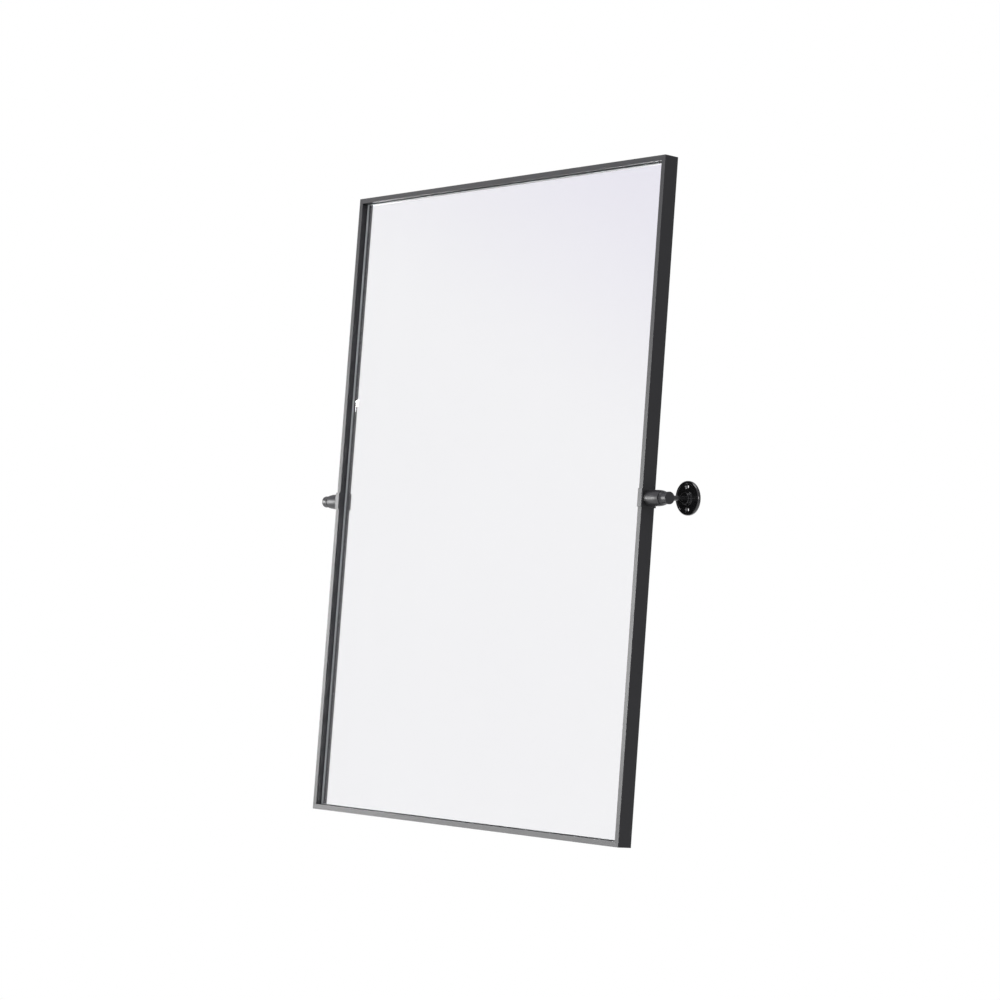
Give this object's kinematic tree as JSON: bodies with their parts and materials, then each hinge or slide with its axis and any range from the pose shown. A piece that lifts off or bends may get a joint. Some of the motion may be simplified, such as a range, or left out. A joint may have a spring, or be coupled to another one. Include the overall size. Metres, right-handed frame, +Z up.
{
  "type": "pivot wall mirror",
  "caption": "Tall rectangular wall mirror in a slim black metal tray frame that tilts between two round wall brackets with clamp knobs.",
  "frame": {"origin": "on the wall plane, midway between the centres of the two wall rosettes and level with the pivot axis, which lies 63.5 mm in front of the wall", "axes": "+X to the viewer's right along the pivot axis, +Y into the wall, +Z up"},
  "size_m": [0.8556, 0.1246, 1.0138],
  "materials": {
    "frame_powder_coat": "satin black powder coat on an aluminium extrusion",
    "bracket_powder_coat": "satin black powder coat",
    "rosette_gloss_black": "gloss black lacquer",
    "black_spring_steel": "black oxide",
    "plated_steel": "bright zinc plate",
    "die_cast_key": "as cast",
    "silvered_glass": "4 mm float glass, silvered on its back",
    "fibreboard": "hardboard, painted matt black",
    "foam": "closed-cell foam",
    "rubber_block": "matte",
    "nylon": "natural nylon"
  },
  "bodies": {
    "wall_brackets": {"left_wall_rosette": "rosette_gloss_black", "right_wall_rosette": "rosette_gloss_black", "left_bracket_post": "rosette_gloss_black", "right_bracket_post": "rosette_gloss_black", "left_bracket_head": "bracket_powder_coat", "right_bracket_head": "bracket_powder_coat", "left_set_screw": "plated_steel", "right_set_screw": "plated_steel"},
    "mirror": {"frame_top_rail": "frame_powder_coat", "frame_bottom_rail": "frame_powder_coat", "frame_left_stile": "frame_powder_coat", "frame_right_stile": "frame_powder_coat", "corner_key_top_left": "die_cast_key", "corner_key_top_right": "die_cast_key", "corner_key_bottom_left": "die_cast_key", "corner_key_bottom_right": "die_cast_key", "corner_key_screws": "plated_steel", "mirror_glass": "silvered_glass", "mounting_tape": "foam", "backing_board": "fibreboard", "ledge_seal": "foam", "backing_screws": "plated_steel", "setting_blocks": "rubber_block", "left_saddle": "bracket_powder_coat", "right_saddle": "bracket_powder_coat", "left_nut_plate": "plated_steel", "right_nut_plate": "plated_steel", "left_pivot_stud": "plated_steel", "right_pivot_stud": "plated_steel", "left_friction_washer": "nylon", "right_friction_washer": "nylon", "left_spring_washer": "black_spring_steel", "right_spring_washer": "black_spring_steel"},
    "left_knob": {"left_clamp_knob": "bracket_powder_coat"},
    "right_knob": {"right_clamp_knob": "bracket_powder_coat"}
  },
  "joints": [
    {"name": "mirror_tilt", "type": "hinge", "parent": "wall_brackets", "child": "mirror", "pos_m": [0, -0.0635, 0], "axis": [1, 0, 0], "range_deg": [-0.1, 11.1]},
    {"name": "left_knob_turn", "type": "hinge", "parent": "mirror", "child": "left_knob", "pos_m": [-0.42, -0.0635, 0], "axis": [-1, 0, 0], "range_deg": [0, 360]},
    {"name": "right_knob_turn", "type": "hinge", "parent": "mirror", "child": "right_knob", "pos_m": [0.42, -0.0635, 0], "axis": [1, 0, 0], "range_deg": [0, 360]}
  ]
}
